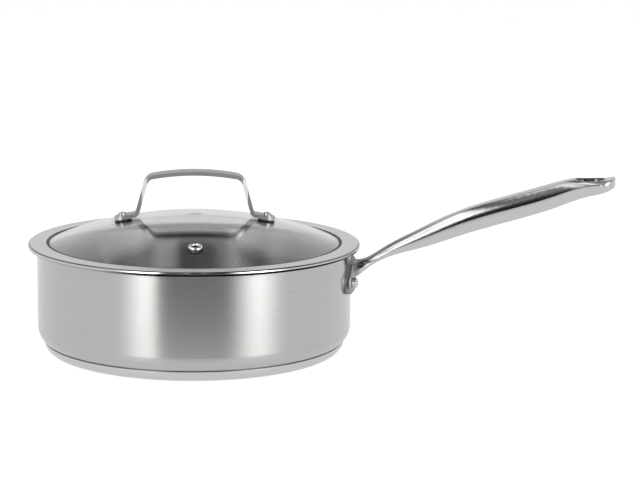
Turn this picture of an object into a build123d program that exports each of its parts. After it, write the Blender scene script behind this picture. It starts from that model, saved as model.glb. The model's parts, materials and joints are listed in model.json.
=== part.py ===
"""Saute pan with a domed glass lid, as an assembly of separate pieces.

Units are millimetres. +Z is up. The origin is the centre of the flat underside of the pan.
+X runs along the long handle. The lid rests on the pan's rim and is turned about Z by
lid_turn, so that its handle and its steam vent stand where they lie on the real object.
"""
import os
from math import asin, atan2, cos, degrees, radians, sin, sqrt

from build123d import *

# Pan body
pan_radius = 121.5
pan_wall = 1.0
pan_height = 81.4
pan_corner_radius = 14.0
rim_width = 5.5
rim_bend_radius = 1.2

# Sandwich base
core_thickness = 4.6
cap_thickness = 0.8
cap_inset = 4.9
cap_edge_radius = 7.6
cap_lip_height = 8.0
groove_depth = 0.9

# Long handle, from the pan's wall to its tip
handle_reach = 203.4
handle_rise = 71.0
handle_root_height = 63.8
handle_root_sink = 1.0
handle_width = 26.0
handle_thickness = 19.2
handle_wall = 2.2
handle_tip_width = 25.5
hang_hole_length = 18.0
hang_hole_width = 13.0
hang_hole_margin = 8.5
hang_hole_flare = 4.5
hang_hole_flare_depth = 9.0

# Flange of the long handle and its two rivets
flange_thickness = 4.0
flange_half_width = 34.0
flange_bottom = 49.0
flange_top = 71.0
flange_corner_radius = 5.0
flange_shoulder_height = 10.0
flange_shoulder_radius = 10.0
flange_edge_radius = 0.9
handle_rivet_spacing = 52.0
handle_rivet_height = 57.4
handle_rivet_shank_radius = 2.5
handle_rivet_head_radius = 4.0
handle_rivet_head_height = 4.3
inner_head_radius = 5.0
inner_head_height = 1.6

# Lid ring
lid_turn = 4.0
lid_ring_overhang = 1.3
lid_ring_reach = 4.4
lid_ring_height = 2.7
lid_ring_edge_radius = 2.4
lid_sheet_thickness = 0.5
lid_skirt_depth = 5.0
lid_skirt_thickness = 0.8
lid_skirt_clearance = 0.9

# Lid glass and its seal
glass_dome_radius = 305.0
glass_edge_rise = 0.48
glass_edge_clearance = 1.6
glass_thickness = 4.0
seal_lip = 2.2
seal_foot = 0.5
seal_sink = 0.15
seal_feather = 0.12

# Lid handle, a bent flat strip
strip_thickness = 3.0
grip_width = 17.0
foot_width = 14.0
foot_spacing = 111.0
foot_reach = 6.4
foot_inset = 11.4
foot_bend_radius = 4.0
grip_half_span = 36.8
grip_height = 28.7
grip_corner_radius = 7.5
grip_slope = 9.7
arch_share = 0.85

# Fasteners of the lid handle
lid_rivet_shank_radius = 2.0
lid_rivet_head_radius = 3.1
lid_rivet_head_height = 2.3
grommet_radius = 6.4
grommet_thickness = 1.2
grommet_collar_thickness = 1.0
under_washer_radius = 7.0
under_washer_thickness = 1.5
cup_radius = 5.6
cup_thickness = 1.0
tail_radius = 3.2
tail_height = 1.6

# Steam vent
vent_edge_distance = 33.7
vent_hole_radius = 2.5
vent_tube_radius = 3.0
vent_collar_thickness = 0.6
vent_flange_radius = 5.3
vent_flange_height = 1.3
vent_throat_drop = 0.4
vent_foot_height = 0.8
vent_gasket_radius = 4.4
vent_gasket_thickness = 0.6
vent_washer_radius = 5.6
vent_washer_thickness = 0.9

# Rivet heads: the part of a head's height that is domed
head_crown_share = 0.35

# Clearances and depths that many pieces share
hole_clearance = 0.1
seal_clearance = 0.05
seat_depth = 0.3
overrun = 1.0
cutter_height = 200.0

floor_underside = cap_thickness + core_thickness
wall_start = floor_underside + pan_corner_radius
rim_underside = pan_height - pan_wall
ring_seat = pan_height
ring_top = ring_seat + lid_ring_height
rim_radius = pan_radius + rim_width
cap_radius = pan_radius - cap_inset
flange_radius = pan_radius + flange_thickness
skirt_outside = pan_radius - pan_wall - lid_skirt_clearance
skirt_inside = skirt_outside - lid_skirt_thickness
lid_ring_radius = rim_radius + lid_ring_overhang
lid_ring_inner_radius = skirt_inside - lid_ring_reach
glass_radius = skirt_inside - glass_edge_clearance
glass_sagitta = glass_dome_radius - sqrt(glass_dome_radius ** 2 - glass_radius ** 2)
glass_dome_apex = ring_seat + glass_edge_rise + glass_sagitta
vent_offset = glass_radius - vent_edge_distance


def profile(*edges):
    """Close a chain of edges in the XZ plane into one face."""
    return make_face(Wire(list(edges)))


def turned(face):
    """Turn a face in the XZ plane about the Z axis into a solid."""
    return revolve(face, Axis.Z)


def disc(radius, low, high):
    """A cylinder about Z from the height low to the height high."""
    return Pos(0, 0, low) * Cylinder(radius, high - low, align=(Align.CENTER, Align.CENTER, Align.MIN))


def tube(outer_radius, inner_radius, low, high):
    """A ring about Z from the height low to the height high."""
    bore = disc(inner_radius, low - overrun, high + overrun)
    return disc(outer_radius, low, high) - bore


def domed_head(radius, height, base):
    """A rivet head about Z: a short straight side under a part of a sphere."""
    crown = height * head_crown_share
    side = base + height - crown
    sphere = (radius ** 2 + crown ** 2) / (2 * crown)
    centre = base + height - sphere
    half_turn = asin(radius / sphere) / 2
    middle = (sphere * sin(half_turn), 0, centre + sphere * cos(half_turn))
    edges = (
        Line((0, 0, base), (radius, 0, base)),
        Line((radius, 0, base), (radius, 0, side)),
        ThreePointArc((radius, 0, side), middle, (0, 0, base + height)),
        Line((0, 0, base + height), (0, 0, base)),
    )
    return turned(profile(*edges))


def quarter_arc(centre, radius, start_angle):
    """A quarter circle in the XZ plane, counter-clockwise from start_angle in degrees."""
    points = []
    for turn in (0, 45, 90):
        angle = radians(start_angle + turn)
        points.append((centre[0] + radius * cos(angle), 0, centre[1] + radius * sin(angle)))
    return ThreePointArc(*points)


def shell_outside():
    """The space that the pan's outside encloses below its rim."""
    flat = pan_radius - pan_corner_radius
    edges = (
        Line((0, 0, floor_underside), (flat, 0, floor_underside)),
        quarter_arc((flat, wall_start), pan_corner_radius, -90),
        Line((pan_radius, 0, wall_start), (pan_radius, 0, rim_underside)),
        Line((pan_radius, 0, rim_underside), (0, 0, rim_underside)),
        Line((0, 0, rim_underside), (0, 0, floor_underside)),
    )
    return turned(profile(*edges))


def rivet_turns():
    """The angles about Z, in degrees, at which the two handle rivets pass through the wall."""
    turn = degrees(asin(handle_rivet_spacing / 2 / flange_radius))
    return {"front": -turn, "rear": turn}


def along_rivet(shape, turn):
    """Lay a shape built about Z along the rivet's axis, outwards from the pan's axis."""
    return Rot(0, 0, turn) * Pos(0, 0, handle_rivet_height) * Rot(0, 90, 0) * shape


def rivet_holes():
    """The cutters for the rivet holes in the wall and in the flange."""
    radius = handle_rivet_shank_radius + hole_clearance
    cutter = disc(radius, pan_radius - pan_wall - overrun, flange_radius + overrun)
    return [along_rivet(cutter, turn) for turn in rivet_turns().values()]


def make_pan_shell():
    inside = pan_radius - pan_wall
    floor_top = floor_underside + pan_wall
    inner_corner = pan_corner_radius - pan_wall
    mouth_radius = rim_bend_radius + pan_wall
    rim_end = rim_radius - pan_wall / 2
    rim_middle = rim_underside + pan_wall / 2
    edges = (
        Line((0, 0, floor_underside), (pan_radius - pan_corner_radius, 0, floor_underside)),
        quarter_arc((pan_radius - pan_corner_radius, wall_start), pan_corner_radius, -90),
        Line((pan_radius, 0, wall_start), (pan_radius, 0, rim_underside - rim_bend_radius)),
        quarter_arc((pan_radius + rim_bend_radius, rim_underside - rim_bend_radius), rim_bend_radius, 90),
        Line((pan_radius + rim_bend_radius, 0, rim_underside), (rim_end, 0, rim_underside)),
        ThreePointArc((rim_end, 0, rim_underside), (rim_radius, 0, rim_middle), (rim_end, 0, pan_height)),
        Line((rim_end, 0, pan_height), (inside + mouth_radius, 0, pan_height)),
        quarter_arc((inside + mouth_radius, pan_height - mouth_radius), mouth_radius, 90),
        Line((inside, 0, pan_height - mouth_radius), (inside, 0, floor_top + inner_corner)),
        quarter_arc((inside - inner_corner, floor_top + inner_corner), inner_corner, -90),
        Line((inside - inner_corner, 0, floor_top), (0, 0, floor_top)),
        Line((0, 0, floor_top), (0, 0, floor_underside)),
    )
    return turned(profile(*edges)) - rivet_holes()


def make_base_cap():
    """The steel dish that encloses the aluminium core."""
    flat = cap_radius - cap_edge_radius
    inner_edge = cap_edge_radius - cap_thickness
    inside = cap_radius - cap_thickness
    edges = (
        Line((0, 0, 0), (flat, 0, 0)),
        quarter_arc((flat, cap_edge_radius), cap_edge_radius, -90),
        Line((cap_radius, 0, cap_edge_radius), (cap_radius, 0, cap_lip_height)),
        Line((cap_radius, 0, cap_lip_height), (inside, 0, cap_lip_height)),
        Line((inside, 0, cap_lip_height), (inside, 0, cap_edge_radius)),
        quarter_arc((flat, cap_edge_radius), inner_edge, -90),
        Line((flat, 0, cap_thickness), (0, 0, cap_thickness)),
        Line((0, 0, cap_thickness), (0, 0, 0)),
    )
    return turned(profile(*edges)) - shell_outside()


def make_base_core():
    """The aluminium disc that fills the cap up to the bottom of the groove."""
    flat = cap_radius - cap_edge_radius
    inner_edge = cap_edge_radius - cap_thickness
    inside = cap_radius - cap_thickness
    top = cap_lip_height - groove_depth
    block = disc(inside, cap_thickness, top)
    edges = (
        Line((0, 0, cap_thickness), (flat, 0, cap_thickness)),
        quarter_arc((flat, cap_edge_radius), inner_edge, -90),
        Line((inside, 0, cap_edge_radius), (inside, 0, cap_lip_height)),
        Line((inside, 0, cap_lip_height), (0, 0, cap_lip_height)),
        Line((0, 0, cap_lip_height), (0, 0, cap_thickness)),
    )
    return (turned(profile(*edges)) & block) - shell_outside()


# The handle's stations: how far out and how high each one stands, and how its section
# compares with the fullest one. The stem is narrow near the flange and full in the palm.
reach_shares = (0.0, 0.031, 0.070, 0.139, 0.252, 0.404, 0.582, 0.760, 0.8945, 1.0)
rise_shares = (0.0, 0.014, 0.069, 0.183, 0.319, 0.501, 0.667, 0.823, 0.931, 1.003)
width_shares = (1.69, 1.27, 0.74, 0.61, 0.70, 0.86, 0.98, 1.0, 1.0, 0.985)
thickness_shares = (0.74, 0.52, 0.34, 0.40, 0.69, 0.94, 0.995, 0.95, 0.73, 0.284)
crease_shares = (0.05, 0.05, 0.05, 0.06, 0.08, 0.09, 0.09, 0.10, 0.19, 0.24)
arch_side_share = 0.71
arch_height_share = 0.74
keel_width_share = 0.50
belly_share = 0.05
flange_neck_share = 0.68

# The stations between which the grip is hollow
hollow_start = 4
hollow_end = 7


def handle_places():
    """How far out and how high the handle's line runs at each station."""
    start = pan_radius - handle_root_sink
    reach = handle_reach + handle_root_sink
    return [
        (start + reach * out, handle_root_height + handle_rise * up)
        for out, up in zip(reach_shares, rise_shares)
    ]


def handle_planes():
    """A plane square to the handle's line at each station."""
    places = handle_places()
    planes = []
    last = len(places) - 1
    for index, (x, z) in enumerate(places):
        before = places[max(index - 1, 0)]
        after = places[min(index + 1, last)]
        slope = atan2(after[1] - before[1], after[0] - before[0])
        if index == 0:
            slope = 0.0
        planes.append(Plane(origin=(x, 0, z), x_dir=(0, 1, 0), z_dir=(cos(slope), 0, sin(slope))))
    return planes


def handle_section(plane, width, thickness, crease_share):
    """One section: a shallow arch above the crease and two flat flanks down to a narrow keel."""
    side = width / 2
    top = thickness / 2
    keel = side * keel_width_share
    crease = thickness * crease_share
    belly = thickness * belly_share
    shoulder = (side * arch_side_share, crease + (top - crease) * arch_height_share)
    flank = ((side + keel) / 2 + belly, (crease - top) / 2 - belly)
    edges = (
        ThreePointArc((-side, crease), (-shoulder[0], shoulder[1]), (0, top)),
        ThreePointArc((0, top), shoulder, (side, crease)),
        ThreePointArc((side, crease), flank, (keel, belly - top)),
        ThreePointArc((keel, belly - top), (0, -top), (-keel, belly - top)),
        ThreePointArc((-keel, belly - top), (-flank[0], flank[1]), (-side, crease)),
    )
    return plane * make_face(Wire(list(edges)))


def handle_loft(shrink, first, last):
    """The handle between two stations, drawn in all round by a distance."""
    planes = handle_planes()
    sections = []
    for index in range(first, last + 1):
        width = handle_width * width_shares[index] - 2 * shrink
        thickness = handle_thickness * thickness_shares[index] - 2 * shrink
        sections.append(handle_section(planes[index], width, thickness, crease_shares[index]))
    return loft(sections)


def make_flange():
    """The shield-shaped flange, bent to the wall."""
    shoulder = flange_bottom + flange_shoulder_height
    neck = flange_half_width * flange_neck_share
    outline = Polyline(
        (-flange_half_width, flange_bottom),
        (flange_half_width, flange_bottom),
        (flange_half_width, shoulder),
        (neck, flange_top),
        (-neck, flange_top),
        (-flange_half_width, shoulder),
        close=True,
    )
    face = make_face(outline)
    face = fillet(face.vertices().group_by(Axis.Y)[1], flange_shoulder_radius)
    face = fillet(face.vertices().group_by(Axis.Y)[0], flange_corner_radius)
    inner = pan_radius - flange_half_width
    prism = extrude(Plane.YZ.offset(inner) * face, flange_radius + overrun - inner)
    band = tube(flange_radius, pan_radius, flange_bottom - overrun, flange_top + overrun)
    flange = prism & band
    return fillet(flange.faces().sort_by(Axis.X)[-1].edges(), flange_edge_radius)


def tip_trim():
    """What is cut from the square end of the handle to leave a half-round tip, seen from above."""
    radius = handle_tip_width / 2
    side = (Align.MIN, Align.CENTER, Align.MIN)
    block = Box(handle_tip_width, 2 * handle_width, cutter_height, align=side)
    return Pos(pan_radius + handle_reach - radius, 0, 0) * (block - disc(radius, 0, cutter_height))


def hanging_slot():
    """The cutter for the slot, square to the handle's line, which flares towards its upper mouth."""
    (near_x, near_z), (tip_x, tip_z) = handle_places()[-2:]
    middle = pan_radius + handle_reach - hang_hole_margin - hang_hole_length / 2
    height = near_z + (tip_z - near_z) * (middle - near_x) / (tip_x - near_x)
    slope = atan2(tip_z - near_z, tip_x - near_x)
    along = (cos(slope), 0, sin(slope))
    upwards = (-sin(slope), 0, cos(slope))
    plane = Plane(origin=(middle, 0, height), x_dir=along, z_dir=upwards)
    narrow = SlotOverall(hang_hole_length, hang_hole_width)
    wide = SlotOverall(hang_hole_length + 2 * hang_hole_flare, hang_hole_width + 2 * hang_hole_flare)
    mouth = plane.offset(hang_hole_flare_depth) * wide
    return extrude(plane * narrow, handle_thickness, both=True) + loft([plane * narrow, mouth])


def make_long_handle():
    """Flange, stem and hollow grip in one piece, with a slot through the tip to hang it by."""
    stem = handle_loft(0, 0, len(reach_shares) - 1) - tip_trim()
    hollow = handle_loft(handle_wall, hollow_start, hollow_end)
    return stem + make_flange() - hanging_slot() - hollow - shell_outside() - rivet_holes()


def make_handle_rivet(turn):
    """Head outside the flange, shank through the flange and the wall, and a low head inside."""
    inside = pan_radius - pan_wall
    seat_drop = handle_rivet_head_radius ** 2 / (2 * flange_radius)
    height = handle_rivet_head_height + seat_drop
    head = domed_head(handle_rivet_head_radius, height, flange_radius - seat_drop)
    inner = Rot(180, 0, 0) * domed_head(inner_head_radius, inner_head_height, -inside)
    low = inside - inner_head_height / 2
    high = flange_radius + handle_rivet_head_height / 2
    shank = disc(handle_rivet_shank_radius, low, high)
    outer_part = along_rivet(head, turn) - disc(flange_radius, 0, pan_height)
    inner_part = along_rivet(inner, turn) & disc(inside, 0, pan_height)
    return outer_part + inner_part + along_rivet(shank, turn)


def on_glass(shape, offset, turn):
    """Stand a shape, built about Z on the XY plane, square on the glass at an offset from its middle."""
    tilt = degrees(asin(offset / glass_dome_radius))
    centre = glass_dome_apex - glass_dome_radius
    return Rot(0, 0, turn) * Pos(0, 0, centre) * Rot(0, tilt, 0) * Pos(0, 0, glass_dome_radius) * shape


def glass_height(radius, below=0):
    """The height of the glass's upper surface, or of one a distance below it, at a radius."""
    sphere = glass_dome_radius - below
    return glass_dome_apex - glass_dome_radius + sqrt(sphere ** 2 - radius ** 2)


foot_turns = {"left": 180, "right": 0}
vent_turn = -90
foot_offset = foot_spacing / 2
vent_bore_radius = vent_tube_radius + vent_collar_thickness + hole_clearance
foot_bore_radius = lid_rivet_shank_radius + grommet_collar_thickness + hole_clearance
foot_top = grommet_thickness + strip_thickness


def make_glass_blank():
    """The domed disc of glass before it is drilled."""
    radii = (0, glass_radius / 2, glass_radius)
    upper = [(radius, 0, glass_height(radius)) for radius in radii]
    lower = [(radius, 0, glass_height(radius, glass_thickness)) for radius in radii]
    edges = (
        ThreePointArc(*upper),
        Line(upper[-1], lower[-1]),
        ThreePointArc(*reversed(lower)),
        Line(lower[0], upper[0]),
    )
    return turned(profile(*edges))


def make_lid_glass():
    depth = glass_thickness + overrun
    foot_bore = disc(foot_bore_radius, -depth, overrun)
    vent_bore = disc(vent_bore_radius, -depth, overrun)
    bores = [on_glass(foot_bore, foot_offset, turn) for turn in foot_turns.values()]
    bores.append(on_glass(vent_bore, vent_offset, vent_turn))
    return make_glass_blank() - bores


def make_lid_ring():
    """The wide satin ring: a flat top, a rounded edge and a skirt that centres it in the pan."""
    skirt_low = ring_seat - lid_skirt_depth
    sheet_low = ring_top - lid_sheet_thickness
    round_start = lid_ring_radius - lid_ring_edge_radius
    round_low = ring_top - lid_ring_edge_radius
    edges = (
        Line((lid_ring_inner_radius, 0, ring_top), (round_start, 0, ring_top)),
        quarter_arc((round_start, round_low), lid_ring_edge_radius, 0),
        Line((lid_ring_radius, 0, round_low), (lid_ring_radius, 0, ring_seat)),
        Line((lid_ring_radius, 0, ring_seat), (skirt_outside, 0, ring_seat)),
        Line((skirt_outside, 0, ring_seat), (skirt_outside, 0, skirt_low)),
        Line((skirt_outside, 0, skirt_low), (skirt_inside, 0, skirt_low)),
        Line((skirt_inside, 0, skirt_low), (skirt_inside, 0, sheet_low)),
        Line((skirt_inside, 0, sheet_low), (lid_ring_inner_radius, 0, sheet_low)),
        Line((lid_ring_inner_radius, 0, sheet_low), (lid_ring_inner_radius, 0, ring_top)),
    )
    return turned(profile(*edges))


def make_lid_seal():
    """The black seal: a U round the edge of the glass, with a lip that shows inside the ring."""
    sheet_low = ring_top - lid_sheet_thickness
    low = ring_seat - lid_skirt_depth + seal_foot
    lip_inside = lid_ring_inner_radius - seal_lip
    lip_low = glass_height(lip_inside) + seal_feather
    outline = Polyline(
        (lip_inside, 0, low),
        (skirt_inside, 0, low),
        (skirt_inside, 0, sheet_low),
        (lid_ring_inner_radius, 0, sheet_low),
        (lid_ring_inner_radius, 0, ring_top - seal_sink),
        (lip_inside, 0, lip_low),
        close=True,
    )
    return turned(make_face(outline)) - make_glass_blank()


def grommet(pad_radius, pad_thickness, bore_radius, collar_thickness):
    """A flat pad on the glass, with a collar that lines the hole below it."""
    collar = tube(bore_radius + collar_thickness, bore_radius, -glass_thickness, 0)
    return tube(pad_radius, bore_radius, -seat_depth, pad_thickness) + collar


def fitted(shape, offset, turn):
    """A soft piece that stands on the glass and takes up its curve."""
    return on_glass(shape, offset, turn) - make_lid_glass()


def make_lid_grommet(turn):
    bore = lid_rivet_shank_radius + seal_clearance
    shape = grommet(grommet_radius, grommet_thickness, bore, grommet_collar_thickness)
    return fitted(shape, foot_offset, turn)


def make_under_washer(turn):
    bore = lid_rivet_shank_radius + seal_clearance
    low = -glass_thickness - under_washer_thickness
    return fitted(tube(under_washer_radius, bore, low, -glass_thickness), foot_offset, turn)


def make_cup_washer(turn):
    bore = lid_rivet_shank_radius + hole_clearance
    high = -glass_thickness - under_washer_thickness
    return on_glass(tube(cup_radius, bore, high - cup_thickness, high), foot_offset, turn)


def make_lid_rivet(turn):
    """Domed head on the foot of the handle, shank through the glass, and a formed tail below."""
    tail_top = -glass_thickness - under_washer_thickness - cup_thickness
    head = domed_head(lid_rivet_head_radius, lid_rivet_head_height, foot_top)
    shank = disc(lid_rivet_shank_radius, tail_top, foot_top)
    tail = Rot(180, 0, 0) * domed_head(tail_radius, tail_height, -tail_top)
    return on_glass(head + shank + tail, foot_offset, turn)


def strip_line():
    """The middle line of the lid handle's strip, from foot to foot, as x and height."""
    tilt = asin(foot_offset / glass_dome_radius)
    rise = grommet_thickness + strip_thickness / 2
    bolt_x = foot_offset + rise * sin(tilt)
    bolt_z = glass_height(foot_offset) + rise * cos(tilt)
    end = (bolt_x + foot_reach * cos(tilt), bolt_z - foot_reach * sin(tilt))
    low = (bolt_x - foot_inset * cos(tilt), bolt_z + foot_inset * sin(tilt))
    corner = (grip_half_span, glass_dome_apex + grip_height)
    slope = radians(grip_slope)
    apex = (0, corner[1] + grip_half_span * sin(slope) / cos(slope))
    arch_tangent = grip_half_span / cos(slope) * arch_share
    arch_radius = arch_tangent * cos(slope) / sin(slope)
    right = [corner, low, end]
    left = [(-x, z) for x, z in reversed(right)]
    radii = [foot_bend_radius, grip_corner_radius, arch_radius, grip_corner_radius, foot_bend_radius]
    return FilletPolyline(*left, apex, *right, radius=radii), end[0]


def make_lid_handle():
    line, end_x = strip_line()
    side = trace(line, strip_thickness)
    blank = extrude(Plane.XZ * side, grip_width, both=True)
    foot_side = foot_width / 2
    grip_side = grip_width / 2
    waist = grip_half_span + foot_bend_radius
    round_centre = end_x - foot_side
    corners = [(grip_half_span, grip_side), (waist, foot_side), (round_centre, foot_side)]
    right = corners + [(x, -y) for x, y in reversed(corners)]
    left = [(-x, -y) for x, y in right]
    plan = make_face(Polyline(*right, *left, close=True))
    for sign in (-1, 1):
        plan += Pos(sign * round_centre, 0) * Circle(foot_side)
    body = blank & extrude(plan, cutter_height)
    bore = disc(lid_rivet_shank_radius + hole_clearance, 0, foot_top + overrun)
    body -= [on_glass(bore, foot_offset, turn) for turn in foot_turns.values()]
    return body


def make_steam_vent():
    """A turned eyelet: a domed flange on the glass, a tube through it and a rolled foot below."""
    bore = vent_hole_radius
    wall = vent_tube_radius
    base = vent_gasket_thickness
    top = base + vent_flange_height
    washer_low = -glass_thickness - vent_washer_thickness
    foot = washer_low - vent_foot_height
    foot_radius = wall + vent_foot_height
    crown = (bore + vent_flange_radius) / 2
    throat = base + vent_throat_drop
    edges = (
        Line((bore, 0, foot), (foot_radius, 0, foot)),
        Line((foot_radius, 0, foot), (foot_radius, 0, washer_low)),
        Line((foot_radius, 0, washer_low), (wall, 0, washer_low)),
        Line((wall, 0, washer_low), (wall, 0, base)),
        Line((wall, 0, base), (vent_flange_radius, 0, base)),
        ThreePointArc((vent_flange_radius, 0, base), (crown, 0, top), (bore, 0, throat)),
        Line((bore, 0, throat), (bore, 0, foot)),
    )
    return on_glass(turned(profile(*edges)), vent_offset, vent_turn)


def make_vent_gasket():
    bore = vent_tube_radius + seal_clearance
    shape = grommet(vent_gasket_radius, vent_gasket_thickness, bore, vent_collar_thickness)
    return fitted(shape, vent_offset, vent_turn)


def make_vent_washer():
    bore = vent_tube_radius + hole_clearance
    low = -glass_thickness - vent_washer_thickness
    return fitted(tube(vent_washer_radius, bore, low, -glass_thickness), vent_offset, vent_turn)


def pan_pieces():
    pieces = {
        "pan_shell": make_pan_shell(),
        "base_core": make_base_core(),
        "base_cap": make_base_cap(),
        "long_handle": make_long_handle(),
    }
    for side, turn in rivet_turns().items():
        pieces["handle_rivet_" + side] = make_handle_rivet(turn)
    return pieces


def lid_pieces():
    pieces = {
        "lid_glass": make_lid_glass(),
        "lid_ring": make_lid_ring(),
        "lid_seal": make_lid_seal(),
        "lid_handle": make_lid_handle(),
        "steam_vent": make_steam_vent(),
        "vent_gasket": make_vent_gasket(),
        "vent_washer": make_vent_washer(),
    }
    for side, turn in foot_turns.items():
        pieces["lid_rivet_" + side] = make_lid_rivet(turn)
        pieces["lid_grommet_" + side] = make_lid_grommet(turn)
        pieces["under_washer_" + side] = make_under_washer(turn)
        pieces["cup_washer_" + side] = make_cup_washer(turn)
    return {name: Rot(0, 0, lid_turn) * piece for name, piece in pieces.items()}


def main():
    os.makedirs("parts", exist_ok=True)
    for name, piece in (pan_pieces() | lid_pieces()).items():
        export_step(piece.solid(), f"parts/{name}.step")
        print(name, "solids", len(piece.solids()))


main()
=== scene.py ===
"""Looks of the saute pan with lid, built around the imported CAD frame. Units are metres."""
import json
from math import atan2, cos, hypot, pi, radians, sin

import bpy
from mathutils import Matrix, Vector


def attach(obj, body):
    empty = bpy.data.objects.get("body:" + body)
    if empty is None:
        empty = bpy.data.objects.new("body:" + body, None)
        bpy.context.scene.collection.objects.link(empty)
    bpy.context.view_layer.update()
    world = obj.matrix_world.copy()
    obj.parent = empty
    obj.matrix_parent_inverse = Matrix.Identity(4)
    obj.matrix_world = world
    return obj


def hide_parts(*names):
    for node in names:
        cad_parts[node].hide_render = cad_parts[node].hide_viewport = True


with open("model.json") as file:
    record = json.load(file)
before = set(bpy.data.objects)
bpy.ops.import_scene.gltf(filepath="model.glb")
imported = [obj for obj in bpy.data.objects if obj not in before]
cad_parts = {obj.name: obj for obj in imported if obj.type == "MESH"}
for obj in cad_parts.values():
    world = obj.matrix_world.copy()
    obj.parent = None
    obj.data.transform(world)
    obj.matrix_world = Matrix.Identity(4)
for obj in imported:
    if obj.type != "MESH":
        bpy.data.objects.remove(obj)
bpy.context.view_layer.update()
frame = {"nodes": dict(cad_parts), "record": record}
nodes = frame["nodes"]


def reach(name, axis):
    """How far a node goes along an axis of the frame, where 0 is X and 2 is Z."""
    return max(corner.co[axis] for corner in nodes[name].data.vertices)


# Camera, fitted to the pan's ellipses in the photograph
picture_width = 640
focal_pixels = 1900
sensor_width = 36.0
camera_place = Vector((0.09724, -1.45339, 0.34786))
camera_pitch = radians(10.226)
camera_roll = radians(0.732)

# The camera's directions on the floor, seen from the pan. Azimuths are from the camera's side,
# positive to its right
camera_azimuth = atan2(camera_place.x, -camera_place.y)
camera_right = (cos(camera_azimuth), sin(camera_azimuth), 0)
camera_near = (sin(camera_azimuth), -cos(camera_azimuth), 0)

# Floor. It glows, but metal sees it dark in the wedge in front, from a short way off the pan
floor_radius = 4.0
floor_gap = 0.0002
floor_white = 0.24
floor_roughness = 0.9
floor_camera_glow = 0.86
floor_metal_glow = 0.70
wedge_glow = 0.05
wedge_start = 0.13
wedge_end = 0.36

# What metal and glass see: a pale horizon, a dark ceiling that starts higher at the sides,
# a bright zenith, and the dark wedge in front
horizon_level = 0.82
ceiling_level = 0.07
ceiling_start = radians(30)
ceiling_end = radians(42)
ceiling_side_lift = radians(14)
zenith_level = 1.8
zenith_start = radians(80)
zenith_end = radians(84)
front_level = 0.07
dark_left = radians(-27)
dark_right = radians(30)
dark_left_soft = radians(3)
dark_right_soft = radians(12)

# Strips of light beside the wedge: middle, half width, softness of the left and of the right
# side, level
strips = (
    (radians(-36), radians(9), radians(12), radians(2.5), 6.8),
    (radians(46), radians(10), radians(14), radians(13), 7.3),
)
strip_end = radians(48)
strip_soft = radians(6)

# Panels on the ceiling, side by side: where each starts and ends, as sideways way over height,
# the softness of its sides, the heights between which it comes into sight, and its level
panels = (
    (-3.0, -0.335, 0.015, 0.72, 0.86, 1.7),
    (-0.200, -0.08, 0.010, 0.84, 0.90, 2.0),
    (-0.16, -0.07, 0.03, 0.45, 0.62, 0.9),
    (0.09, 0.17, 0.04, 0.45, 0.62, 0.55),
)
panel_floor = 0.45

# In what follows, a facing is how far a surface looks up: 1 is up, 0 sideways and -1 down.
# A pair is where an effect starts and where it is complete

# Brushed steel: its lines run round the axis, and broad bands vary its roughness
brush_scale = 1400.0
brush_stretch = 1.2
band_scale = brush_scale / 6
band_stretch = brush_stretch / 2
brush_contrast = 0.02
brush_range = (0.3, 0.7)
band_range = (0.25, 0.75)
brush_bump = 0.02
brush_depth = 0.00002
quarter_turn = 0.25

# Painted shadow: a dark line painted under the lid ring, on the edge of the pan's rim and on the
# foot of the ring's edge, where the gap lies in shade. It is painted paler on the left, as mirrored
# light, by the way across from the axis
rim_radius = reach("pan_shell", 0)
rim_height = reach("pan_shell", 2)
painted_shadow_width = 0.0026
painted_shadow_height = 0.0020
painted_shadow_grey = 0.008
painted_shadow_across = (-0.075, -0.040)
painted_shadow_pale_share = 0.30

# The long handle: polished above and satin on the flanks, brushed along its line. Along X it
# is flange up to where the stem starts, and the flange is painted darker as shade
handle_line = (0.95, 0.0, 0.31)
handle_scale = (30.0, 700.0, 700.0)
handle_dark = (0.56, 0.555, 0.55, 1.0)
handle_pale = (0.64, 0.635, 0.63, 1.0)
handle_bump = 0.01
handle_depth = 0.00001
polish_facing = (-0.12, 0.02)
polish_roughness = 0.15
polish_anisotropy = 0.6
flank_roughness = 0.34
flank_anisotropy = 0.3
line_roughness = 0.03
stem_start = rim_radius - 0.001
stem_fade = 0.004
flange_painted_shade_grey = 0.30

# The handle's hanging slot, painted dark inside as shade
handle_tip = reach("long_handle", 0)
slot_near = handle_tip - 0.0300
slot_far = handle_tip - 0.0050
slot_end_fade = 0.001
slot_side = 0.0097
slot_side_fade = 0.0004
slot_top_facing = (0.70, 0.85)
slot_under_facing = (-0.45, -0.25)
slot_painted_shade_grey = 0.10

# Painted dark reflection: above the crease the handle's side is painted dark as far as the slot, and near
# the pan its top is painted dark too
crease_facing = (0.36, 0.56)
crease_stop = (slot_near - 0.006, slot_near + 0.002)
crease_painted_shade_grey = 0.14
crease_rounding = 0.002
crease_samples = 8
neck_facing = (0.66, 0.80)
neck_reach = (0.150, 0.205)
neck_painted_shade_grey = 0.16

# Specks of satin and plain metal
speck_scale = 2500.0
speck_range = (0.3, 0.7)
speck_bump = 0.05
speck_depth = 0.00002
plain_contrast = 0.06
plain_spread = 0.2

# Satin steel, which is the strip handle above this height and the lid ring below it
satin_dark = (0.60, 0.60, 0.595, 1.0)
satin_pale = (0.66, 0.66, 0.655, 1.0)
satin_roughness = (0.27, 0.33)
ring_zone = reach("lid_ring", 2) + 0.002
ring_fade = 0.002

# The lid ring's rounded edge is polished, with a painted dark reflection on its shoulder and a painted
# shadow on its foot
edge_facing = (0.90, 0.97)
edge_roughness = 0.09
shoulder_side_facing = (0.50, 0.60)
shoulder_top_facing = (0.96, 0.99)
shoulder_painted_reflection_grey = 0.14
foot_facing = (0.10, 0.20)
foot_height = 0.0012

# The lid ring's turned mesh
corner_slack = 0.0001
edge_steps = 10
ring_steps = 512
flat_share = 1 / 4

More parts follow.
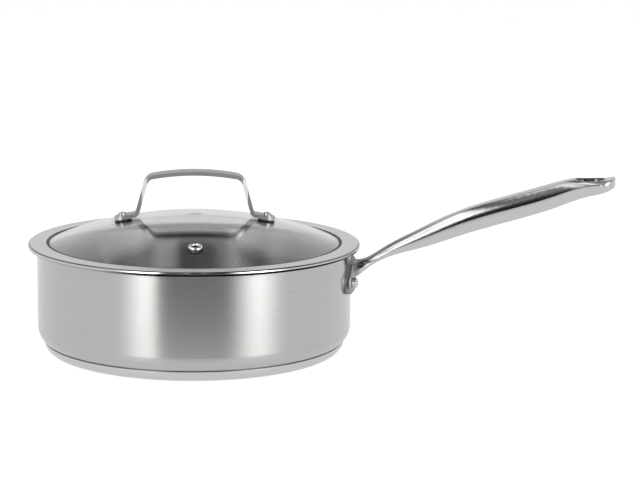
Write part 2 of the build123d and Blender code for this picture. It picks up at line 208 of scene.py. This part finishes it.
# The strip handle's painted light and shade, its sides paler and its top darker, with painted shade on its
# underside. It is a little rougher than the ring
strip_facing = (0.5, 0.8)
strip_side_painted_light_grey = 0.50
strip_top_painted_shade_grey = 0.40
strip_extra_roughness = 0.10
underside_facing = (-0.30, 0.0)
underside_painted_shade_grey = 0.06

# The steel washers seen through the glass, painted dark as shade from above the rim up to this height
washer_height = reach("cup_washer_left", 2) + 0.0002
washer_fade = 0.0002
washer_rim_fade = 0.001
washer_painted_shade_grey = 0.10

# Silicone
silicone_scale = 900.0
silicone_dark = (0.010, 0.010, 0.010, 1.0)
silicone_pale = (0.022, 0.022, 0.022, 1.0)
silicone_range = (0.2, 0.8)
silicone_roughness = (0.45, 0.60)
silicone_bump = 0.1
silicone_depth = 0.00005

# Glass, with faint smears
glass_colour = (0.92, 0.93, 0.925, 1.0)
glass_index = 1.5
smear_scale = 60.0
smear_range = (0.35, 0.75)
smear_roughness = (0.0, 0.02)


def make_camera():
    data = bpy.data.cameras.new("camera")
    data.sensor_width = sensor_width
    data.lens = sensor_width * focal_pixels / picture_width
    camera = bpy.data.objects.new("camera", data)
    bpy.context.scene.collection.objects.link(camera)
    tilt = Matrix.Rotation(pi / 2 - camera_pitch, 4, "X")
    roll = Matrix.Rotation(camera_roll, 4, "Z")
    camera.matrix_world = Matrix.Translation(camera_place) @ tilt @ roll
    bpy.context.scene.camera = camera


class Graph:
    """A short way to write shader nodes: every call makes a node and wires its inputs."""

    def __init__(self, tree):
        self.tree = tree
        tree.nodes.clear()

    def fill(self, socket, value):
        """Wire a socket, or set it where the value is plain."""
        if isinstance(value, bpy.types.NodeSocket):
            self.tree.links.new(value, socket)
        else:
            socket.default_value = value

    def add(self, kind, inputs=(), **settings):
        made = self.tree.nodes.new("ShaderNode" + kind)
        for name, value in settings.items():
            setattr(made, name, value)
        for key, value in dict(inputs).items():
            self.fill(made.inputs[key], value)
        return made

    def math(self, operation, *values):
        return self.add("Math", enumerate(values), operation=operation).outputs[0]

    def product(self, first, *others):
        for other in others:
            first = self.math("MULTIPLY", first, other)
        return first

    def smooth(self, value, low, high, out_low=0.0, out_high=1.0):
        """Goes from one result to the other while the value goes from low to high."""
        inputs = {"Value": value, "From Min": low, "From Max": high, "To Min": out_low, "To Max": out_high}
        return self.add("MapRange", inputs, interpolation_type="SMOOTHSTEP").outputs["Result"]

    def fall(self, value, low, high):
        """One up to low, and nought from high."""
        return self.smooth(value, low, high, 1.0, 0.0)

    def between(self, value, low, high, low_soft, high_soft):
        """One between low and high, and nought outside them."""
        above = self.smooth(value, low - low_soft, low + low_soft)
        return self.product(above, self.fall(value, high - high_soft, high + high_soft))

    def mix(self, factor, first, second):
        """Mix of two colours."""
        made = self.add("Mix", {"Factor": factor}, data_type="RGBA")
        self.fill(made.inputs[6], first)
        self.fill(made.inputs[7], second)
        return made.outputs[2]

    def blend(self, factor, first, second):
        """Mix of two plain values."""
        return self.add("Mix", {0: factor, 2: first, 3: second}).outputs[0]

    def parts(self, vector):
        """The outputs X, Y and Z of a vector."""
        return self.add("SeparateXYZ", {0: vector}).outputs

    def dot(self, vector, axis):
        return self.add("VectorMath", {0: vector, 1: axis}, operation="DOT_PRODUCT").outputs["Value"]

    def length(self, vector):
        return self.add("VectorMath", {0: vector}, operation="LENGTH").outputs["Value"]

    def place(self):
        """The place on the surface, in the frame of its own object."""
        return self.add("TexCoord").outputs["Object"]

    def radius(self, parts):
        """The distance from the Z axis."""
        return self.length(self.add("CombineXYZ", {"X": parts["X"], "Y": parts["Y"]}).outputs[0])

    def noise(self, vector, scale=1.0, detail=3.0, roughness=0.6):
        inputs = {"Vector": vector, "Scale": scale, "Detail": detail, "Roughness": roughness}
        return self.add("TexNoise", inputs).outputs["Fac"]

    def bump(self, height, strength, depth, **more):
        inputs = {"Height": height, "Strength": strength, "Distance": depth, **more}
        return self.add("Bump", inputs).outputs[0]

    def surface(self, inputs):
        shader = self.add("BsdfPrincipled", inputs)
        self.tree.links.new(shader.outputs[0], self.add("OutputMaterial").inputs["Surface"])


def grey(level):
    return (level, level, level, 1.0)


def camera_side(graph, place):
    """The azimuth of a place or direction, from the camera's side and positive to its right."""
    return graph.math("ARCTAN2", graph.dot(place, camera_right), graph.dot(place, camera_near))


def wedge(graph, azimuth):
    """One inside the dark wedge in front, nought outside it."""
    return graph.between(azimuth, dark_left, dark_right, dark_left_soft, dark_right_soft)


def add_strips(graph, azimuth, elevation, level):
    """The strips of light, up to where they end."""
    low_enough = graph.fall(elevation, strip_end - strip_soft, strip_end + strip_soft)
    for middle, half_width, left_soft, right_soft, strength in strips:
        strip = graph.between(azimuth, middle - half_width, middle + half_width, left_soft, right_soft)
        level = graph.blend(graph.product(strip, low_enough), level, strength)
    return level


def add_panels(graph, direction, level):
    """The ceiling's panels, from the height where they come into sight."""
    height = graph.parts(direction)["Z"]
    across = graph.dot(direction, camera_right)
    place = graph.math("DIVIDE", across, graph.math("MAXIMUM", height, panel_floor))
    for start, end, soft, low, high, strength in panels:
        panel = graph.product(graph.between(place, start, end, soft, soft), graph.smooth(height, low, high))
        level = graph.blend(panel, level, strength)
    return level


def make_world():
    """White for the camera. Metal and glass see a pale studio, dark in front, with lights."""
    world = bpy.data.worlds.new("studio")
    world.use_nodes = True
    bpy.context.scene.world = world
    graph = Graph(world.node_tree)
    direction = graph.add("TexCoord").outputs["Generated"]
    azimuth = camera_side(graph, direction)
    elevation = graph.math("ARCSINE", graph.parts(direction)["Z"])
    sideways = graph.math("ABSOLUTE", graph.math("SINE", azimuth))
    lowered = graph.math("SUBTRACT", elevation, graph.product(sideways, ceiling_side_lift))
    level = graph.smooth(lowered, ceiling_start, ceiling_end, horizon_level, ceiling_level)
    level = graph.blend(wedge(graph, azimuth), level, front_level)
    level = add_strips(graph, azimuth, elevation, level)
    level = graph.blend(graph.smooth(elevation, zenith_start, zenith_end), level, zenith_level)
    level = add_panels(graph, direction, level)
    strength = graph.blend(graph.add("LightPath").outputs["Is Camera Ray"], level, 1.0)
    background = graph.add("Background", {"Color": grey(1.0), "Strength": strength})
    graph.tree.links.new(background.outputs[0], graph.add("OutputWorld").inputs["Surface"])


def new_material(name):
    material = bpy.data.materials.new(name)
    material.use_nodes = True
    return material, Graph(material.node_tree)


def make_floor():
    """A pale floor that glows, so that it meets the white background and metal sees it bright."""
    mesh = bpy.data.meshes.new("floor")
    signs = ((-1, -1), (1, -1), (1, 1), (-1, 1))
    corners = [(x * floor_radius, y * floor_radius, -floor_gap) for x, y in signs]
    mesh.from_pydata(corners, [], [(0, 1, 2, 3)])
    floor = bpy.data.objects.new("floor", mesh)
    bpy.context.scene.collection.objects.link(floor)
    material, graph = new_material("floor")
    place = graph.place()
    far = graph.smooth(graph.length(place), wedge_start, wedge_end)
    dim = graph.product(wedge(graph, camera_side(graph, place)), far)
    metal_glow = graph.blend(dim, floor_metal_glow, wedge_glow)
    path = graph.add("LightPath").outputs
    seen_in = graph.math("MAXIMUM", path["Is Glossy Ray"], path["Is Transmission Ray"])
    glow = graph.product(seen_in, metal_glow)
    glow = graph.blend(path["Is Camera Ray"], glow, floor_camera_glow)
    graph.surface({
        "Base Color": grey(floor_white),
        "Roughness": floor_roughness,
        "Specular IOR Level": 0.0,
        "Emission Color": grey(1.0),
        "Emission Strength": glow,
    })
    mesh.materials.append(material)


def ring_profile():
    """The lid ring's section, read from its solid: radius, height and whether a corner is sharp."""
    corners = [(hypot(corner.co.x, corner.co.y), corner.co.z) for corner in nodes["lid_ring"].data.vertices]
    radii = [radius for radius, height in corners]
    heights = [height for radius, height in corners]
    inner, outer, low, top = min(radii), max(radii), min(heights), max(heights)
    flat_end = max(radius for radius, height in corners if height > top - corner_slack)
    seat = min(height for radius, height in corners if radius > outer - corner_slack)
    sheet_low = min(height for radius, height in corners if radius < inner + corner_slack)
    skirt = [radius for radius, height in corners if height < low + corner_slack]
    edge = outer - flat_end
    points = [(inner, top, True), (flat_end - edge * flat_share, top, False)]
    for step in range(edge_steps + 1):
        angle = pi / 2 * step / edge_steps
        points.append((flat_end + edge * sin(angle), top - edge + edge * cos(angle), False))
    points += [(outer, seat, True), (max(skirt), seat, True), (max(skirt), low, True)]
    points += [(min(skirt), low, True), (min(skirt), sheet_low, True), (inner, sheet_low, True)]
    return points


def make_ring(material):
    """The lid ring, turned finer than its solid, so that its edge mirrors smoothly."""
    points = ring_profile()
    count = len(points)
    corners = []
    faces = []
    for turn in range(ring_steps):
        angle = 2 * pi * turn / ring_steps
        corners += [(radius * cos(angle), radius * sin(angle), height) for radius, height, sharp in points]
        here = turn * count
        after = (turn + 1) % ring_steps * count
        for index in range(count):
            nearby = (index + 1) % count
            faces.append((here + index, here + nearby, after + nearby, after + index))
    mesh = bpy.data.meshes.new("lid_ring_turned")
    mesh.from_pydata(corners, [], faces)
    mesh.polygons.foreach_set("use_smooth", [True] * len(mesh.polygons))
    for line in mesh.edges:
        first, second = (vertex % count for vertex in line.vertices)
        line.use_edge_sharp = first == second and points[first][2]
    mesh.update()
    ring = bpy.data.objects.new("lid_ring_turned", mesh)
    bpy.context.scene.collection.objects.link(ring)
    mesh.materials.append(material)
    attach(ring, "lid")
    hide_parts("lid_ring")


def turned_place(graph, line_scale, stretch):
    """Coordinates that follow the lathe: fine across the brushing and long around the axis."""
    parts = graph.parts(graph.place())
    half_angle = graph.product(graph.math("ARCTAN2", parts["Y"], parts["X"]), 0.5)
    across = graph.product(graph.radius(parts), line_scale)
    along = graph.product(graph.math("SINE", half_angle), stretch)
    up = graph.product(parts["Z"], line_scale)
    return graph.add("CombineXYZ", {"X": across, "Y": along, "Z": up}).outputs[0]


def painted_shadow_share(graph, place):
    """How much of the painted shadow line under the lid ring is there, less on the left as painted
    reflection.
    """
    return graph.smooth(graph.dot(place, camera_right), *painted_shadow_across, painted_shadow_pale_share, 1.0)


def rim_painted_shadow(graph):
    """The painted shadow line on the edge of the pan's rim, under the lid ring, and nought elsewhere."""
    place = graph.place()
    parts = graph.parts(place)
    inside = rim_radius - painted_shadow_width
    outside = graph.smooth(graph.radius(parts), inside, inside + painted_shadow_width / 2)
    below = rim_height - painted_shadow_height
    high = graph.smooth(parts["Z"], below, below + painted_shadow_height / 2)
    return graph.product(outside, high, painted_shadow_share(graph, place))


def brushed_steel(name, colour, roughness, spread, anisotropy, with_painted_shadow=False):
    """Steel whose brushing runs round the Z axis."""
    material, graph = new_material(name)
    lines = graph.noise(turned_place(graph, brush_scale, brush_stretch))
    bands = graph.noise(turned_place(graph, band_scale, band_stretch), detail=2.0, roughness=0.5)
    pale = tuple(min(1.0, part * (1 + brush_contrast)) for part in colour)
    dark = tuple(part * (1 - brush_contrast) for part in colour)
    tint = graph.mix(graph.smooth(lines, *brush_range), (*dark, 1.0), (*pale, 1.0))
    # Painted shadow line under the lid ring, on the edge of the pan's rim
    if with_painted_shadow:
        tint = graph.mix(rim_painted_shadow(graph), tint, grey(painted_shadow_grey))
    graph.surface({
        "Base Color": tint,
        "Metallic": 1.0,
        "Roughness": graph.smooth(bands, *band_range, roughness - spread, roughness + spread),
        "Anisotropic": anisotropy,
        "Anisotropic Rotation": quarter_turn,
        "Tangent": graph.add("Tangent", direction_type="RADIAL", axis="Z").outputs[0],
        "Normal": graph.bump(lines, brush_bump, brush_depth),
    })
    return material


def in_slot(graph, parts, facing):
    """One on the walls of the long handle's hanging slot, and nought elsewhere."""
    sideways = graph.math("ABSOLUTE", parts["Y"])
    middle = graph.fall(sideways, slot_side, slot_side + slot_side_fade)
    near = graph.smooth(parts["X"], slot_near, slot_near + slot_end_fade)
    far = graph.fall(parts["X"], slot_far, slot_far + slot_end_fade)
    wall = graph.product(graph.fall(facing, *slot_top_facing), graph.smooth(facing, *slot_under_facing))
    return graph.product(middle, near, far, wall)


def handle_steel():
    """Polished above, satin on the flanks below the crease, with painted shade on the flange, by the
    crease, near the pan and in the slot.
    """
    material, graph = new_material("handle_steel")
    place = graph.place()
    parts = graph.parts(place)
    normal = graph.add("NewGeometry").outputs["Normal"]
    facing = graph.parts(normal)["Z"]
    stretched = graph.add("VectorMath", {0: place, 1: handle_scale}, operation="MULTIPLY").outputs[0]
    lines = graph.noise(stretched)
    on_stem = graph.smooth(parts["X"], stem_start, stem_start + stem_fade)
    polish = graph.product(graph.smooth(facing, *polish_facing), on_stem)
    plain_roughness = graph.blend(polish, flank_roughness, polish_roughness)
    across = graph.add("VectorMath", {0: handle_line, 1: normal}, operation="CROSS_PRODUCT").outputs[0]
    softened = graph.add("Bevel", {"Radius": crease_rounding}, samples=crease_samples).outputs[0]
    tint = graph.mix(lines, handle_dark, handle_pale)
    # Painted shade: the flange is coloured darker than the stem
    tint = graph.mix(on_stem, grey(flange_painted_shade_grey), tint)
    # Painted dark reflection above the crease
    crease_shade_band = graph.product(graph.fall(facing, *crease_facing), polish)
    before_slot = graph.fall(parts["X"], *crease_stop)
    tint = graph.mix(graph.product(crease_shade_band, before_slot), tint, grey(crease_painted_shade_grey))
    # Painted dark reflection on the stem's top near the pan
    stem_top = graph.product(graph.smooth(facing, *neck_facing), on_stem)
    near_pan = graph.fall(parts["X"], *neck_reach)
    tint = graph.mix(graph.product(stem_top, near_pan), tint, grey(neck_painted_shade_grey))
    # Painted shade inside the hanging slot
    graph.surface({
        "Base Color": graph.mix(in_slot(graph, parts, facing), tint, grey(slot_painted_shade_grey)),
        "Metallic": 1.0,
        "Roughness": graph.math("ADD", plain_roughness, graph.product(lines, line_roughness)),
        "Anisotropic": graph.blend(polish, flank_anisotropy, polish_anisotropy),
        "Tangent": across,
        "Normal": graph.bump(lines, handle_bump, handle_depth, Normal=softened),
    })
    return material


def satin_steel():
    """Satin on the ring's top and on the strip handle, polished round the ring's edge, with painted light
    and shade.
    """
    material, graph = new_material("satin_steel")
    place = graph.place()
    height = graph.parts(place)["Z"]
    facing = graph.parts(graph.add("NewGeometry").outputs["Normal"])["Z"]
    specks = graph.noise(place, speck_scale)
    on_ring = graph.fall(height, ring_zone, ring_zone + ring_fade)
    on_strip = graph.math("SUBTRACT", 1.0, on_ring)
    tint = graph.mix(specks, satin_dark, satin_pale)
    # Painted dark reflection on the shoulder of the ring's edge
    painted_shoulder_reflection = graph.product(graph.smooth(facing, *shoulder_side_facing),
                             graph.fall(facing, *shoulder_top_facing), on_ring)
    tint = graph.mix(painted_shoulder_reflection, tint, grey(shoulder_painted_reflection_grey))
    # Painted shadow on the foot of the ring's edge, where the gap lies in shade
    low = graph.fall(height, rim_height + foot_height / 2, rim_height + foot_height)
    painted_foot_shadow = graph.product(graph.fall(facing, *foot_facing), low, painted_shadow_share(graph, place))
    tint = graph.mix(painted_foot_shadow, tint, grey(painted_shadow_grey))
    # Painted light and shade on the strip handle: paler sides, darker top
    strip_top = graph.smooth(facing, *strip_facing)
    strip_painted_tint = graph.mix(strip_top, grey(strip_side_painted_light_grey), grey(strip_top_painted_shade_grey))
    tint = graph.mix(on_strip, tint, strip_painted_tint)
    # Painted shade on the strip handle's underside
    painted_underside_shade = graph.product(graph.fall(facing, *underside_facing), on_strip)
    edge = graph.product(on_ring, graph.fall(facing, *edge_facing))
    satin = graph.smooth(specks, *speck_range, *satin_roughness)
    satin = graph.math("ADD", satin, graph.product(on_strip, strip_extra_roughness))
    graph.surface({
        "Base Color": graph.mix(painted_underside_shade, tint, grey(underside_painted_shade_grey)),
        "Metallic": 1.0,
        "Roughness": graph.blend(edge, satin, edge_roughness),
        "Normal": graph.bump(specks, speck_bump, speck_depth),
    })
    return material


def plain_metal(name, colour, roughness, painted_washer_shade=False):
    """Metal with faint specks. Under the glass it may be painted dark as shade, for the washers."""
    material, graph = new_material(name)
    place = graph.place()
    specks = graph.noise(place, speck_scale)
    dark = tuple(part * (1 - plain_contrast) for part in colour)
    pale = tuple(min(1.0, part * (1 + plain_contrast)) for part in colour)
    tint = graph.mix(specks, (*dark, 1.0), (*pale, 1.0))
    # Painted shade on the washers under the glass
    if painted_washer_shade:
        height = graph.parts(place)["Z"]
        above_rim = graph.smooth(height, rim_height, rim_height + washer_rim_fade)
        below_glass = graph.fall(height, washer_height, washer_height + washer_fade)
        tint = graph.mix(graph.product(above_rim, below_glass), tint, grey(washer_painted_shade_grey))
    smoothest = roughness * (1 - plain_spread)
    roughest = roughness * (1 + plain_spread)
    graph.surface({
        "Base Color": tint,
        "Metallic": 1.0,
        "Roughness": graph.smooth(specks, *speck_range, smoothest, roughest),
        "Normal": graph.bump(specks, speck_bump, speck_depth),
    })
    return material


def silicone():
    material, graph = new_material("black_silicone")
    specks = graph.noise(graph.place(), silicone_scale)
    graph.surface({
        "Base Color": graph.mix(specks, silicone_dark, silicone_pale),
        "Roughness": graph.smooth(specks, *silicone_range, *silicone_roughness),
        "Normal": graph.bump(specks, silicone_bump, silicone_depth),
    })
    return material


def glass():
    """Clear tempered glass."""
    material, graph = new_material("lid_glass")
    smears = graph.noise(graph.place(), smear_scale, detail=2.0, roughness=0.5)
    graph.surface({
        "Base Color": glass_colour,
        "Roughness": graph.smooth(smears, *smear_range, *smear_roughness),
        "IOR": glass_index,
        "Transmission Weight": 1.0,
    })
    return material


def dress(materials):
    """Give every node the material that the record names for it."""
    slots = {row["node"]: row["material_slot"] for row in frame["record"]["subparts"]}
    for name, node in nodes.items():
        node.data.materials.clear()
        node.data.materials.append(materials[slots[name]])


make_camera()
make_world()
make_floor()
materials = {
    "brushed_steel": brushed_steel("brushed_steel", (0.512, 0.505, 0.496), roughness=0.25, spread=0.004,
                                   anisotropy=0.88, with_painted_shadow=True),
    "base_steel": brushed_steel("base_steel", (0.60, 0.60, 0.59), roughness=0.25, spread=0.01,
                                anisotropy=0.6),
    "satin_steel": satin_steel(),
    "handle_steel": handle_steel(),
    "rivet_steel": plain_metal("rivet_steel", (0.62, 0.62, 0.61), roughness=0.28, painted_washer_shade=True),
    "core_aluminium": plain_metal("core_aluminium", (0.72, 0.72, 0.73), roughness=0.35),
    "chrome": plain_metal("chrome", (0.80, 0.80, 0.80), roughness=0.05),
    "lid_glass": glass(),
    "black_silicone": silicone(),
}
dress(materials)
make_ring(materials["satin_steel"])
bpy.context.scene.view_settings.view_transform = "Standard"
